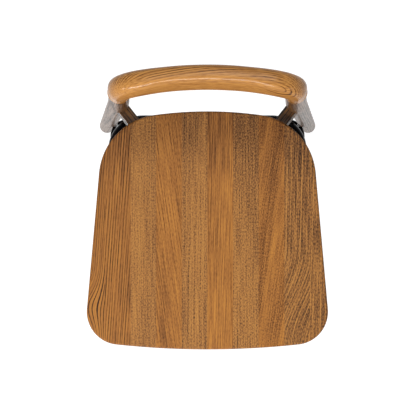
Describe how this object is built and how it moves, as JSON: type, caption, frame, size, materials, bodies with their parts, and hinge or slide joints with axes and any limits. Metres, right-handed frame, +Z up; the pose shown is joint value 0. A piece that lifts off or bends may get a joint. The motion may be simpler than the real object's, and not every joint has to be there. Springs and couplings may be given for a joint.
{
  "type": "low back counter stool",
  "caption": "Counter stool with a tapered glued-up wooden seat on splayed round legs, a low bent crest rail, and black steel hoops under the seat and as a footrest.",
  "frame": {"origin": "on the floor, at the middle of the stool's footprint", "axes": "+Z up, the stool faces -Y, +X to the right of someone looking at its front"},
  "size_m": [0.5334, 0.5241, 0.8498],
  "materials": {
    "seat_wood": "brown stained open-pored hardwood, satin lacquer",
    "crest_wood": "brown stained hardwood, glossier lacquer",
    "dark_wood": "dark brown stained hardwood, satin lacquer",
    "dowel_wood": "plain fluted beech",
    "black_steel": "gloss black stove enamel",
    "zinc_steel": "zinc plated",
    "insert_brass": "turned brass",
    "glide_nylon": "dark brown nylon"
  },
  "bodies": {
    "root": {"back_glide_left": "glide_nylon", "back_glide_right": "glide_nylon", "back_leg_left": "dark_wood", "back_leg_right": "dark_wood", "barrel_nuts": "zinc_steel", "bolt_plugs": "dark_wood", "crest_dowel_left": "dowel_wood", "crest_dowel_right": "dowel_wood", "crest_rail": "crest_wood", "cross_arm_lower": "dark_wood", "cross_arm_upper": "dark_wood", "footrest_hoop": "black_steel", "footrest_screws": "zinc_steel", "front_glide_left": "glide_nylon", "front_glide_right": "glide_nylon", "front_leg_left": "dark_wood", "front_leg_right": "dark_wood", "glide_pins": "zinc_steel", "hoop_screws": "zinc_steel", "leg_bolts": "zinc_steel", "seat_hoop": "black_steel", "seat_inserts": "insert_brass", "seat_screws": "zinc_steel", "seat_stave_1": "seat_wood", "seat_stave_10": "seat_wood", "seat_stave_2": "seat_wood", "seat_stave_3": "seat_wood", "seat_stave_4": "seat_wood", "seat_stave_5": "seat_wood", "seat_stave_6": "seat_wood", "seat_stave_7": "seat_wood", "seat_stave_8": "seat_wood", "seat_stave_9": "seat_wood"}
  },
  "joints": []
}
